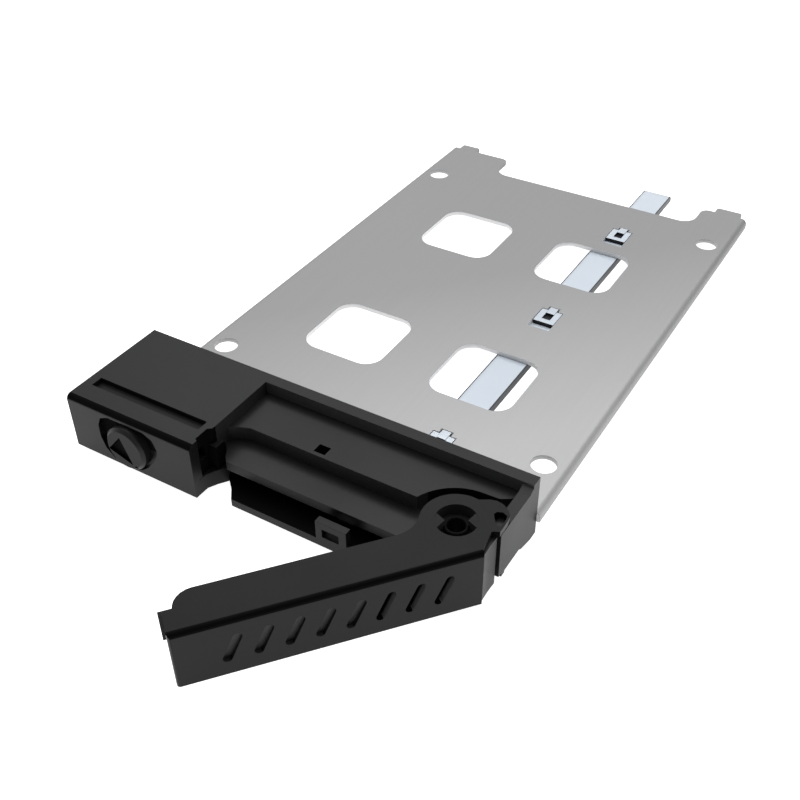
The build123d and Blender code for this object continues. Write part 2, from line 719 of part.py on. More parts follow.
def ejector_lever():
    """Ejector lever, drawn closed about its pivot and turned to the open pose."""
    lever = lever_shape(lever_outline(), LEVER_BOTTOM, LEVER_TOP)
    front_y = -LEVER_FRONT_OUT
    lever = fillet(edges_near(lever, Axis.X, Y=(front_y, front_y), Z=(LEVER_TOP, LEVER_TOP)), TOP_EDGE_RADIUS)
    rounding_along = LEVER_TIP_ALONG - LEVER_FRONT_CORNER
    rounding_out = LEVER_FRONT_OUT - LEVER_FRONT_CORNER
    rounding = arc_points((rounding_along, rounding_out), LEVER_FRONT_CORNER, 0.0, 90.0, 4)
    beyond = [
        (rounding_along, LEVER_FRONT_OUT + 1),
        (LEVER_TIP_ALONG + 1, LEVER_FRONT_OUT + 1),
        (LEVER_TIP_ALONG + 1, rounding_out),
    ]
    lever -= lever_shape(rounding + beyond, LEVER_BOTTOM - 1, LEVER_TOP + 1)

    inner_out = LEVER_FRONT_OUT - LEVER_WALL
    inner_tip = LEVER_TIP_ALONG - END_WALL
    lever -= lever_shape(
        [
            (-0.5, inner_out),
            (inner_tip, inner_out),
            (inner_tip, END_WALL_OUT),
            (LEVER_TIP_ALONG + 1, END_WALL_OUT),
            (LEVER_TIP_ALONG + 1, -9),
            (-9, -9),
            (-9, 2.9),
            (-3.1, 2.9),
            (-2.3, 4.2),
        ],
        LEVER_BOTTOM - 1,
        LEVER_PLATE_BOTTOM,
    )
    lever += box(
        -DEEP_SLOT_END,
        -2.0,
        -inner_out,
        -DEEP_SLOT_BACK,
        DEEP_SLOT_BOTTOM,
        LEVER_PLATE_BOTTOM,
    )
    lever += post(0, 0, HUB_RADIUS, HUB_BOTTOM, LEVER_TOP)
    end_step = [
        (-6.0, 3.66),
        (-3.59, 3.66),
        (-2.52, 4.84),
        (-1.73, 5.72),
        (-1.38, 6.3),
        (-2.0, 7.5),
        (-6.0, 7.5),
    ]
    lever -= lever_shape(end_step, END_STEP_TOP, LEVER_TOP + 1)
    tooth = [
        (-3.0, -2.0),
        (-4.51, -2.6),
        (-5.82, -2.17),
        (-6.65, -1.6),
        (-7.16, -0.75),
        (-7.36, 0.1),
        (-7.35, 0.9),
        (-7.1, 1.85),
        (-6.4, 2.6),
        (-5.6, 3.3),
        (-4.7, 4.05),
        (-3.9, 3.66),
        (-3.0, 3.2),
    ]
    lever += lever_shape(tooth, TOOTH_BOTTOM, LEVER_TOP)
    tooth_opening = [
        (-5.25, 0.6),
        (-5.8, 0.4),
        (-6.5, 0.75),
        (-6.8, 1.6),
        (-6.3, 2.25),
        (-5.6, 2.85),
        (-5.1, 3.1),
        (-4.75, 2.5),
        (-4.95, 1.5),
    ]
    lever -= lever_shape(tooth_opening, TOOTH_BOTTOM - 1, LEVER_TOP + 1)
    lever += box(
        -FIN_END_ALONG,
        -FIN_START_ALONG,
        -FIN_OUT - FIN_THICKNESS / 2,
        -FIN_OUT + FIN_THICKNESS / 2,
        FIN_BOTTOM,
        LEVER_TOP,
    )
    for i in range(SLOT_COUNT):
        along = SLOT_FIRST_ALONG + SLOT_PITCH * i
        if i < SLOT_DEEP_COUNT:
            lever -= grip_slot(along, LEVER_WALL + DEEP_SLOT_EXTRA)
        else:
            slope_place = Pos(-along, front_y - 2.5 + SLOT_DEPTH / 2, SLOT_CENTRE_Z)
            slope = slope_place * Rot(SLOT_TILT, 0, 0) * Box(8, 5, 9)
            lever -= grip_slot(along, LEVER_WALL + 0.5) & slope

    lever -= post(0, 0, COUNTERBORE_RADIUS, COUNTERBORE_FLOOR, LEVER_TOP + 1)
    lever -= post(0, 0, PIN_RADIUS + PIVOT_CLEARANCE, 0, LEVER_TOP)
    lug_tip = COUNTERBORE_RADIUS - LUG_REACH
    lug_half = LUG_WIDTH / 2
    lug_outline = [
        (lug_tip, 0),
        (lug_tip + 0.3, 0.3 * lug_half),
        (lug_tip + 0.65, 0.62 * lug_half),
        (lug_tip + 1.05, lug_half),
        (COUNTERBORE_RADIUS + 0.3, lug_half),
        (COUNTERBORE_RADIUS + 0.3, -lug_half),
        (lug_tip + 1.05, -lug_half),
        (lug_tip + 0.65, -0.62 * lug_half),
        (lug_tip + 0.3, -0.3 * lug_half),
    ]
    for turn in (0, 180):
        lug = slab(lug_outline, PIN_HEAD_TOP + JOINT_GAP, LEVER_TOP - 0.05)
        lever += Rot(0, 0, turn + LUG_DIRECTION - LEVER_OPEN_ANGLE) * lug
    return Pos(PIVOT_X, PIVOT_Y, 0) * Rot(0, 0, LEVER_OPEN_ANGLE) * lever


def pivot_pin():
    """Hollow headed pin with a groove for its ring."""
    groove_top = RING_TOP + 0.02
    groove_bottom = RING_TOP - RING_THICKNESS - 0.02
    pin = turned(
        [
            (PIN_BORE_RADIUS, PIN_BOTTOM),
            (PIN_RADIUS, PIN_BOTTOM),
            (PIN_RADIUS, groove_bottom),
            (PIN_RADIUS - RING_GROOVE, groove_bottom),
            (PIN_RADIUS - RING_GROOVE, groove_top),
            (PIN_RADIUS, groove_top),
            (PIN_RADIUS, COUNTERBORE_FLOOR),
            (PIN_HEAD_RADIUS, COUNTERBORE_FLOOR),
            (PIN_HEAD_RADIUS, PIN_HEAD_TOP),
            (PIN_BORE_RADIUS, PIN_HEAD_TOP),
        ]
    )
    return Pos(PIVOT_X, PIVOT_Y, 0) * pin


def ring(inner, outer, low, high):
    """A flat ring about the lever's pivot."""
    solid = post(*PIVOT, outer, low, high)
    return solid - post(*PIVOT, inner, low - 1, high + 1)


def retaining_ring():
    """Open retaining ring in the pin's groove, under the shelf."""
    solid = ring(PIN_RADIUS - RING_GROOVE + SCREW_FIT, RING_RADIUS, RING_TOP - RING_THICKNESS, RING_TOP)
    solid -= Pos(PIVOT_X, PIVOT_Y + RING_RADIUS, RING_TOP) * Box(2.4, 2 * RING_RADIUS, 3)
    return solid


def to_front(solid, y):
    """Turn a solid drawn along Z so that its top faces the front, on the knob's axis."""
    return Pos(KNOB_X, y, KNOB_Z) * Rot(90, 0, 0) * solid


def d_shape(gap):
    """Round shaft outline with one flat, grown by a gap."""
    outline = Circle(SHAFT_RADIUS + gap)
    return outline - Pos(0, -SHAFT_FLAT - gap - 2) * Rectangle(6, 4)


def lock_knob():
    """Round knob with an arrow recess, a dot and a flatted shaft."""
    height = KNOB_BASE - KNOB_FACE
    knob = Pos(0, 0, height / 2) * Cylinder(KNOB_RADIUS, height)
    knob = chamfer(knob.edges().sort_by(Axis.Z)[-1], KNOB_EDGE)
    neck = CAM_FRONT - KNOB_BASE
    knob += Pos(0, 0, -neck / 2) * Cylinder(SHAFT_RADIUS, neck)
    knob += extrude(Pos(0, 0, -neck) * d_shape(0), -(CAM_SEAT - CAM_FRONT))
    arrow = make_face(Polyline(*ARROW_POINTS, close=True))
    knob -= extrude(Pos(0, 0, height - ARROW_DEPTH) * arrow, ARROW_DEPTH + 1)
    knob -= Pos(*DOT_POSITION, height) * Cylinder(0.3, 2 * ARROW_DEPTH)
    knob -= Pos(0, 0, CAM_DEPTH_OF_SCREW) * Cylinder(CAM_SCREW_RADIUS + SCREW_FIT, 4.0)
    return to_front(knob, KNOB_BASE)


def spring_washer():
    """Dished washer that holds the knob where it is turned."""
    inner = SHAFT_RADIUS + 0.1
    gap = CAM_FRONT - (BLOCK_FRONT + FRONT_WALL)
    rise = gap - WASHER_THICKNESS - 0.02
    washer = turned(
        [
            (inner, 0.01),
            (WASHER_RADIUS, rise),
            (WASHER_RADIUS, rise + WASHER_THICKNESS),
            (inner, WASHER_THICKNESS + 0.01),
        ]
    )
    return to_front(washer, CAM_FRONT - 0.01)


def lock_cam():
    """Crank disc on the knob's shaft, with its pin in the bolt's slot."""
    thickness = CAM_BACK - CAM_FRONT
    cam = Pos(0, 0, -thickness / 2) * Cylinder(CAM_RADIUS, thickness)
    cam -= extrude(Pos(0, 0, -thickness - 1) * d_shape(SCREW_FIT), thickness + 2)
    seat = CAM_BACK - CAM_SEAT
    cam += Pos(0, 0, -thickness + seat / 2) * (
        Cylinder(CAM_RADIUS - 0.5, seat) - Cylinder(CAM_SCREW_HEAD_RADIUS + JOINT_GAP, seat + 1)
    )
    pin_length = CRANK_PIN_END - CAM_BACK
    pin_x = CRANK_RADIUS * sin(radians(CRANK_START_ANGLE))
    pin_y = CRANK_RADIUS * cos(radians(CRANK_START_ANGLE))
    cam += Pos(pin_x, pin_y, -thickness - pin_length / 2) * Cylinder(CRANK_PIN_RADIUS, pin_length)
    return to_front(cam, CAM_FRONT)


def cam_screw():
    """Small screw that holds the cam on the shaft."""
    solid = screw(CAM_SCREW_RADIUS, CAM_SCREW_HEAD_RADIUS, CAM_SCREW_HEAD_HEIGHT, 1.6)
    return Pos(KNOB_X, CAM_SEAT, KNOB_Z) * Rot(-90, 0, 0) * solid


def lock_bolt():
    """Sliding bolt with a slot for the crank pin and a stepped tip."""
    bolt = box(BAR_LEFT, BAR_RIGHT, BAR_FRONT, BAR_BACK, BAR_BOTTOM, BAR_TOP)
    slot_x = KNOB_X + CRANK_RADIUS * sin(radians(CRANK_START_ANGLE))
    slot_low = KNOB_Z + CRANK_RADIUS * cos(radians(CRANK_START_ANGLE))
    slot_high = KNOB_Z + CRANK_RADIUS
    reach = CRANK_PIN_RADIUS + CRANK_SLOT_CLEARANCE
    slot_left = slot_x - reach
    slot_right = slot_x + reach
    bolt -= box(slot_left, slot_right, BAR_FRONT - 1, BAR_BACK + 1, slot_low - reach, slot_high + reach)
    bolt += box(BAR_RIGHT - 2.2, BAR_RIGHT, BOLT_FRONT, BAR_FRONT + 0.2, BOLT_TIP_BOTTOM, BOLT_TIP_TOP)
    tip = box(BAR_RIGHT - 1, BOLT_TIP, BOLT_FRONT, BOLT_STEP, BOLT_TIP_BOTTOM, BOLT_TIP_TOP)
    tip = chamfer(edges_near(tip, Axis.Z, X=(BOLT_TIP, BOLT_TIP), Y=(BOLT_STEP, BOLT_STEP)), 0.3)
    return bolt + tip


def parts():
    """Every node by name."""
    nodes = {
        "bezel_body": bezel_body(),
        "bezel_bottom_cover": bottom_cover(),
        "tray_plate": tray_plate(),
        "light_pipe": light_pipe(),
        "ejector_lever": ejector_lever(),
        "lever_pivot_pin": pivot_pin(),
        "pivot_washer": ring(PIN_RADIUS + PIVOT_CLEARANCE, PAD_RADIUS, SHELF_TOP, HUB_BOTTOM - PIPE_GAP),
        "pivot_retaining_ring": retaining_ring(),
        "lock_knob": lock_knob(),
        "knob_spring_washer": spring_washer(),
        "lock_cam": lock_cam(),
        "cam_screw": cam_screw(),
        "lock_bolt": lock_bolt(),
    }
    for i, (x, y) in enumerate(COVER_SCREWS, start=1):
        seat = BEZEL_BOTTOM + SCREW_HEAD_HEIGHT
        solid = screw(SCREW_RADIUS, SCREW_HEAD_RADIUS, SCREW_HEAD_HEIGHT, SCREW_LENGTH)
        nodes[f"cover_screw_{i}"] = Pos(x, y, seat) * Rot(180, 0, 0) * solid
    for i, x in enumerate(PLATE_SCREWS_X, start=1):
        solid = screw(SCREW_RADIUS, SCREW_HEAD_RADIUS, SCREW_HEAD_HEIGHT, SCREW_LENGTH - 0.4)
        nodes[f"plate_screw_{i}"] = Pos(x, PLATE_SCREW_Y, -PLATE_THICKNESS) * Rot(180, 0, 0) * solid
    return nodes


for name, solid in parts().items():
    export_step(TO_FRAME * solid, f"parts/{name}.step")
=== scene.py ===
"""Looks of the hot-swap drive tray: steel plate, black bezel, open lever, turn lock, light pipe."""
import math

import bpy
from mathutils import Matrix, Vector


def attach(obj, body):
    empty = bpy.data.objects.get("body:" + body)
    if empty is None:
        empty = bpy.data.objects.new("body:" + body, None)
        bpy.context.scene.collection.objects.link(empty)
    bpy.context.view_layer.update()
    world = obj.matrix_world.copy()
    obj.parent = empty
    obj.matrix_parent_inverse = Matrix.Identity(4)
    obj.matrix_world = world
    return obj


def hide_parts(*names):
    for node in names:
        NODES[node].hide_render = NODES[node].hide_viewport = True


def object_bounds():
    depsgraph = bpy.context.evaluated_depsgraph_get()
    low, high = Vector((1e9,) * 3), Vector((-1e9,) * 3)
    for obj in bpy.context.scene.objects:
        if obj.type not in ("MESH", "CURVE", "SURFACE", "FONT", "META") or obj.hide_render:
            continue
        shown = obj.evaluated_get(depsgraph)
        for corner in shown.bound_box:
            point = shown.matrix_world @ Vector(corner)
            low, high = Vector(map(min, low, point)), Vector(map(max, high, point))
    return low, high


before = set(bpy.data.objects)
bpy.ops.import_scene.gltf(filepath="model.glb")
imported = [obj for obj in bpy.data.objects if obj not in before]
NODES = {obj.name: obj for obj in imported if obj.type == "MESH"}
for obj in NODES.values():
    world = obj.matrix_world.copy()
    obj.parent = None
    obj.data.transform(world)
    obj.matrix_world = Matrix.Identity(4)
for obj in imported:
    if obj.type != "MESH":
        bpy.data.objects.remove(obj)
CAD_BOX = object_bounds()
MM = 0.001

# The part is drawn with y = 0 at the front drive holes, 38.3 mm before its origin
FRONT_HOLES_Y = -38.3

# Camera of the photograph, in metres and degrees
CAMERA_PLACE = (0.075229, -0.152587, 0.109305)
CAMERA_HEADING = -31.531
CAMERA_DROP = 38.631
CAMERA_ROLL = -0.593
CAMERA_LENS = 47.712
CAMERA_SENSOR = 36.0
CAMERA_NEAREST = 0.005
CAMERA_FARTHEST = 20.0

# Lever's hinge, in millimetres, and its angle as photographed
PIVOT_X = 28.25
PIVOT_Y = -23.4
LEVER_TURN = math.radians(50.07)
LEVER_COS = math.cos(LEVER_TURN)
LEVER_SIN = math.sin(LEVER_TURN)

# Light pipe and its painted dark edge lines, in millimetres
PIPE_X = 14.2
PIPE_HALF_WIDTH = 3.0
PIPE_BACK = 94.5
EDGE_LINE_WIDTH = 0.22

# Strip of painted light on a deep grip slot's wall, outwards from the hinge, in millimetres
LIT_WALL_FROM = 5.7
LIT_WALL_TO = 6.1

# Knob's axis and the reach of its opening, in millimetres
KNOB_X = -25.6
KNOB_Z = 1.35
KNOB_OPENING_REACH = 5.5

# Rolled rim of the hinge pin: radius and height of each ring, in millimetres, from the bore outwards
RIM_PROFILE = (
    (1.35, 5.2),
    (1.32, 5.7),
    (1.38, 5.88),
    (1.52, 5.96),
    (1.68, 5.9),
    (1.78, 5.72),
    (1.85, 5.28),
)
RIM_CORNERS = 64

# Width of the rounded edges, in millimetres
BEZEL_ROUNDING = 0.18
LEVER_ROUNDING = 0.18
COVER_ROUNDING = 0.12
KNOB_ROUNDING = 0.22
PLATE_ROUNDING = 0.05
PIPE_ROUNDING = 0.18

# Copies of the solids: points closer than this, in metres, are merged, and the angles up to which
# faces are joined into one flat face, edges stay unrounded, and faces are shaded as one
MERGE_DISTANCE = 0.000002
FLAT_ANGLE = math.radians(0.6)
EDGE_ANGLE = math.radians(28.0)
SMOOTH_ANGLE = math.radians(40.0)
RIM_SMOOTH_ANGLE = math.radians(50.0)
FLAT_FACE_WEIGHT = 60

# Colours, linear
WHITE = (1.0, 1.0, 1.0, 1.0)
MID_GREY = (0.5, 0.5, 0.5, 1.0)
BLACK_PLASTIC = (0.0068, 0.0068, 0.0071, 1.0)
# Painted shade: the black plastic darkened where little light falls, in hollows and gaps, on the lever's
# top, on right-facing walls and in the top slot
PAINTED_SHADE_BLACK = (0.002, 0.002, 0.0022, 1.0)
LEVER_TOP_PAINTED_SHADE = (0.0042, 0.0042, 0.0044, 1.0)
SIDE_WALL_PAINTED_SHADE = (0.0046, 0.0046, 0.0048, 1.0)
TOP_SLOT_PAINTED_SHADE = (0.0062, 0.0062, 0.0065, 1.0)
# Painted light: the black plastic lightened where light falls or is thrown back, in the shallow slots, on
# the recess and rim walls and on the deep slots' walls that face the tip
SHALLOW_SLOT_PAINTED_LIGHT = (0.02, 0.02, 0.021, 1.0)
RECESS_WALL_PAINTED_LIGHT = (0.022, 0.022, 0.023, 1.0)
RIM_WALL_PAINTED_LIGHT = (0.045, 0.045, 0.047, 1.0)
LIT_SLOT_PAINTED_LIGHT = (0.09, 0.09, 0.093, 1.0)
KNOB_PLASTIC = (0.0022, 0.0022, 0.0024, 1.0)
# Painted light on the knob's round side
KNOB_SIDE_PAINTED_LIGHT = (0.011, 0.011, 0.0115, 1.0)
LOCK_BLACK = (0.006, 0.006, 0.0065, 1.0)
NYLON_CREAM = (0.62, 0.61, 0.56, 1.0)
PIN_BLACK = (0.004, 0.004, 0.0042, 1.0)
SCREW_ZINC = (0.48, 0.48, 0.47, 1.0)
SPRING_GREY = (0.32, 0.33, 0.35, 1.0)
# Sheet steel, and a lighter colour of it towards the right front as painted light
STEEL_GREY = (0.2, 0.2, 0.203, 1.0)
STEEL_PAINTED_LIGHT = (0.30, 0.30, 0.303, 1.0)
# Cut edges and drive hole walls: partly the bare steel of the cut, partly painted light that keeps them
# from showing shade
CUT_STEEL_PAINTED_LIGHT = (0.75, 0.75, 0.76, 1.0)
CUT_STEEL_DULL_PAINTED_LIGHT = (0.72, 0.72, 0.735, 1.0)
HOLE_STEEL_PAINTED_LIGHT = (0.46, 0.46, 0.465, 1.0)
HOLE_STEEL_DULL_PAINTED_LIGHT = (0.44, 0.44, 0.447, 1.0)
CLEAR_TINT = (0.60, 0.66, 0.73, 1.0)
# Painted dark reflection along the clear bar's edges and on its sides
CLEAR_EDGE_PAINTED_REFLECTION = (0.02, 0.021, 0.025, 1.0)

# Share by which a surface's second colour is lighter or darker than its first
PLASTIC_DRIFT = 1.15
METAL_DRIFT = 1.2
CLEAR_DRIFT = 0.96

# Grain of the surfaces: its scale and its depth
BEZEL_GRAIN = (9000.0, 0.12)
COVER_GRAIN = (8000.0, 0.1)
KNOB_GRAIN = (12000.0, 0.06)
LOCK_GRAIN = (7000.0, 0.05)
PIN_GRAIN = (6000.0, 0.05)
METAL_GRAIN = (5000.0, 0.05)
CLEAR_GRAIN = (1200.0, 0.03)
STEEL_LINES = (1500.0, 0.012)

# Gloss of the surfaces: roughness at the smoothest and at the roughest places
BEZEL_GLOSS = (0.3, 0.38)
COVER_GLOSS = (0.36, 0.44)
LEVER_EDGE_GLOSS = (0.34, 0.42)
WALL_GLOSS = (0.4, 0.48)
LIT_SLOT_GLOSS = (0.4, 0.5)
SLOT_GLOSS = (0.45, 0.55)
HALF_DARK_GLOSS = (0.5, 0.6)
DULL_GLOSS = (0.7, 0.85)
STEEL_GLOSS = (0.5, 0.54)
SCREW_GLOSS = (0.28, 0.4)
SPRING_GLOSS = (0.25, 0.35)
CLEAR_GLOSS = (0.05, 0.14)

# Reflection of the surfaces
PLASTIC_SPECULAR = 0.13
LIT_SLOT_SPECULAR = 0.04
SMALL_METAL_SHARE = 0.9
CLEAR_IOR = 1.49

# Patterns of the node groups: noise details and scales, heights in metres
NOISE_LOW = 0.3
NOISE_HIGH = 0.7
GRAIN_DETAIL = 3.0
GRAIN_HEIGHT = 0.00003
SLOW_SCALE = 60.0
SLOW_DETAIL = 4.0
DRIFT_DETAIL = 5.0
PLASTIC_DRIFT_SCALE = 45.0
METAL_DRIFT_SCALE = 200.0
CLEAR_DRIFT_SCALE = 60.0
LINE_STRETCH = (1.0, 0.02, 1.0)
LINE_DETAIL = 4.0
LINE_HEIGHT = 0.00002
# Painted light across the sheet: direction, start and end in metres, and share of the slope towards the
# right front
SLOPE_DIRECTION = (0.75, -0.66, 0.0)
SLOPE_START = -0.005
SLOPE_END = 0.042
SLOPE_SHARE = 0.85
CLOUD_SCALE = 14.0
CLOUD_DETAIL = 2.0
CLOUD_SHARE = 0.15

# Regions given painted light or shade: limits across, along and up, in millimetres, as the part is drawn
FAR = 1000.0
ANYWHERE = (-FAR, FAR)
TIP_POCKET = ((-16.0, -12.4), (-28.6, -23.0), (-FAR, 6.4))
POCKET_POST = ((-13.2, -10.0), (-26.2, -23.0), (1.0, 5.5))
KNOB_OPENING_UP = (KNOB_Z - KNOB_OPENING_REACH, KNOB_Z + KNOB_OPENING_REACH)
KNOB_OPENING = ((-31.4, -25.0), (-30.45, -28.5), KNOB_OPENING_UP)
SQUARE_HOLE = ((1.9, 4.1), (-19.8, -17.9), (-FAR, 4.6))
BEZEL_INSIDE = (ANYWHERE, (-27.0, FAR), (-FAR, 0.75))
CORNER_GROOVE = ((31.0, 33.9), (-22.3, -20.3), ANYWHERE)
TOP_SLOT = ((-35.7, -14.3), (-26.4, -24.5), (5.9, 6.7))
SHELF_LINE = ((-12.0, 25.0), (-26.6, -26.1), (2.1, 2.45))
RECESS_WALLS = ((-12.6, 34.0), (-26.0, -13.0), (2.3, 6.9))
BLOCK_SIDE = ((-12.9, -12.0), (-23.0, -14.0), ANYWHERE)
RIM_FRONT = ((-12.6, 33.0), (-12.6, -11.4), (4.5, 6.95))
RIGHT_WALL = ((34.3, FAR), ANYWHERE, ANYWHERE)
HUB_SURROUND = ((21.0, FAR), (-FAR, -14.5), (2.3, 6.9))
HUB_SURROUND_REACH = 9.8
SHEET_CUTS = ((-28.0, 28.0), (-20.0, 84.0), ANYWHERE)
DRIVE_HOLES = ((28.0, 33.6), (-20.0, 84.0), ANYWHERE)
HOOK_POCKETS = (ANYWHERE, ANYWHERE, (-0.7, -0.1))
COVER_TOP = (ANYWHERE, ANYWHERE, (-2.3, -1.6))
KNOB_ARROW = (ANYWHERE, (-31.45, -30.8), ANYWHERE)
KNOB_ARROW_REACH = 3.35
KNOB_BEHIND_FACE = (ANYWHERE, (-31.45, FAR), ANYWHERE)

# The same for the open lever: limits along it from the hinge, out towards its grip, and up
LEVER_TOP = (ANYWHERE, ANYWHERE, (6.7, FAR))
LEVER_END = ((-FAR, 0.0), (0.0, FAR), (-FAR, 6.6))
GRIP_EDGE = ((-1.5, FAR), (5.5, 6.84), (5.4, 6.84))
SHALLOW_SLOTS = ((16.0, 38.0), (5.7, 6.75), (-1.3, 4.3))
DEEP_SLOTS = ((2.0, 14.2), (3.5, 6.8), (-1.3, 4.3))
TOOTH = ((-FAR, -3.4), ANYWHERE, (4.0, 6.7))
TOOTH_FOOT = ((-FAR, -3.75), ANYWHERE, (4.0, 6.0))
COUNTERBORE = (ANYWHERE, ANYWHERE, (4.0, 6.7))
COUNTERBORE_REACH = 3.3

# Share that an axis has in a face's normal, as limits for how the face lies
LEVEL = 0.97
NEARLY_LEVEL = 0.9
STEEP = 0.8
SLOPING = 0.7
UPRIGHT = 0.5
COVER_BEND = 0.4
LEANING = 0.3
EDGE_LEANING = 0.15

# Studio: floor, surroundings and lamps, in metres and watts
FLOOR_SIZE = 6.0
FLOOR_GAP = 0.0002
FLOOR_ROUGHNESS = 0.85
DARK_SIDE = (0.2, 0.2, 0.2, 1.0)
DARK_SIDE_DIRECTION = (-0.45, 0.89, 0.0)
DARK_SIDE_BLEND = 0.15
OVERHEAD_FROM = 0.88
OVERHEAD_TO = 0.78
LOW_LAMP = {"place": (0.7, 0.1, 0.08), "target": (0.0, -0.04, 0.0), "size": 0.3, "power": 0.3}
OVERHEAD_LAMP = {"place": (-0.15, 0.35, 0.9), "target": (0.0, -0.05, 0.0), "size": 0.9, "power": 8.0}


# Nodes


def add_node(tree, kind, inputs=None, **settings):
    """A new node with its settings, and its inputs set to values or linked to other nodes."""
    node = tree.nodes.new(kind)
    for name, value in settings.items():
        setattr(node, name, value)
    for label, value in (inputs or {}).items():
        if isinstance(value, bpy.types.NodeSocket):
            tree.links.new(value, node.inputs[label])
        else:
            node.inputs[label].default_value = value
    return node


def new_group(name, inputs, outputs):
    """An empty shader node group with named sockets."""
    group = bpy.data.node_groups.new(name, "ShaderNodeTree")
    for label, kind, value in inputs:
        socket = group.interface.new_socket(name=label, in_out="INPUT", socket_type=kind)
        socket.default_value = value
    for label, kind in outputs:
        group.interface.new_socket(name=label, in_out="OUTPUT", socket_type=kind)
    start = group.nodes.new("NodeGroupInput")
    end = group.nodes.new("NodeGroupOutput")
    return group, start.outputs, end.inputs


def object_place(tree):
    """Place on the piece, in its own coordinates."""
    return add_node(tree, "ShaderNodeTexCoord").outputs["Object"]


def noise(tree, place, scale, detail):
    """Noise field read at a place."""
    field = add_node(tree, "ShaderNodeTexNoise", {"Vector": place, "Scale": scale, "Detail": detail})
    return field.outputs["Fac"]


def bump(tree, height, strength, distance):
    """Normal that a height field gives a surface."""
    node = add_node(tree, "ShaderNodeBump", {"Height": height, "Strength": strength, "Distance": distance})
    return node.outputs["Normal"]


def spread(tree, value, source, target):
    """A value moved from one range to another."""
    ranges = {
        "Value": value,
        "From Min": source[0],
        "From Max": source[1],
        "To Min": target[0],
        "To Max": target[1],
    }
    return add_node(tree, "ShaderNodeMapRange", ranges).outputs["Result"]


def mix_colours(tree, share, first, second):
    """Mix of two colours by a share."""
    inputs = {"Factor": share, "A": first, "B": second}
    return add_node(tree, "ShaderNodeMix", inputs, data_type="RGBA").outputs["Result"]


def along_direction(tree, place, direction):
    """Distance of a place along a direction."""
    node = add_node(tree, "ShaderNodeVectorMath", {0: place, 1: direction}, operation="DOT_PRODUCT")
    return node.outputs["Value"]


def calculate(tree, operation, *values):
    """Result of one step of arithmetic."""
    node = add_node(tree, "ShaderNodeMath", dict(enumerate(values)), operation=operation)
    return node.outputs["Value"]


# Node groups shared by the materials


def moulded_grain():
    """Fine spark-eroded grain of moulded plastic: a normal and a slow gloss change."""
    inputs = [
        ("Grain Scale", "NodeSocketFloat", BEZEL_GRAIN[0]),
        ("Grain Depth", "NodeSocketFloat", BEZEL_GRAIN[1]),
        ("Gloss Low", "NodeSocketFloat", BEZEL_GLOSS[0]),
        ("Gloss High", "NodeSocketFloat", BEZEL_GLOSS[1]),
    ]
    outputs = [("Normal", "NodeSocketVector"), ("Roughness", "NodeSocketFloat")]
    group, start, end = new_group("moulded_grain", inputs, outputs)
    place = object_place(group)
    fine = noise(group, place, start["Grain Scale"], GRAIN_DETAIL)
    slow = noise(group, place, SLOW_SCALE, SLOW_DETAIL)
    gloss = spread(group, slow, (NOISE_LOW, NOISE_HIGH), (start["Gloss Low"], start["Gloss High"]))
    group.links.new(bump(group, fine, start["Grain Depth"], GRAIN_HEIGHT), end["Normal"])
    group.links.new(gloss, end["Roughness"])
    return group


def colour_drift():
    """Slow change between two near colours, as on any real surface."""
    inputs = [
        ("Colour One", "NodeSocketColor", MID_GREY),
        ("Colour Two", "NodeSocketColor", MID_GREY),
        ("Scale", "NodeSocketFloat", PLASTIC_DRIFT_SCALE),
    ]
    group, start, end = new_group("colour_drift", inputs, [("Colour", "NodeSocketColor")])
    share = noise(group, object_place(group), start["Scale"], DRIFT_DETAIL)
    colour = mix_colours(group, share, start["Colour One"], start["Colour Two"])
    group.links.new(colour, end["Colour"])
    return group


def rolled_lines():
    """Faint rolling lines of cold-rolled sheet, drawn out along Y."""
    inputs = [
        ("Line Scale", "NodeSocketFloat", STEEL_LINES[0]),
        ("Line Depth", "NodeSocketFloat", STEEL_LINES[1]),
        ("Gloss Low", "NodeSocketFloat", STEEL_GLOSS[0]),
        ("Gloss High", "NodeSocketFloat", STEEL_GLOSS[1]),
    ]
    outputs = [("Normal", "NodeSocketVector"), ("Roughness", "NodeSocketFloat")]
    group, start, end = new_group("rolled_lines", inputs, outputs)
    stretch = add_node(group, "ShaderNodeMapping", {"Vector": object_place(group), "Scale": LINE_STRETCH})
    lines = noise(group, stretch.outputs["Vector"], start["Line Scale"], LINE_DETAIL)
    gloss = spread(group, lines, (NOISE_LOW, NOISE_HIGH), (start["Gloss Low"], start["Gloss High"]))
    group.links.new(bump(group, lines, start["Line Depth"], LINE_HEIGHT), end["Normal"])
    group.links.new(gloss, end["Roughness"])
    return group


def painted_light_slope():
    """Painted light: two near colours in a slope from the left back to the right front, under a faint
    random cloud of tone.
    """
    inputs = [
        ("Colour One", "NodeSocketColor", MID_GREY),
        ("Colour Two", "NodeSocketColor", MID_GREY),
    ]
    group, start, end = new_group("painted_light_slope", inputs, [("Colour", "NodeSocketColor")])
    place = object_place(group)
    distance = along_direction(group, place, SLOPE_DIRECTION)
    slope = spread(group, distance, (SLOPE_START, SLOPE_END), (0.0, SLOPE_SHARE))
    cloud = noise(group, place, CLOUD_SCALE, CLOUD_DETAIL)
    share = calculate(group, "MULTIPLY_ADD", cloud, CLOUD_SHARE, slope)
    colour = mix_colours(group, share, start["Colour One"], start["Colour Two"])
    group.links.new(colour, end["Colour"])
    return group


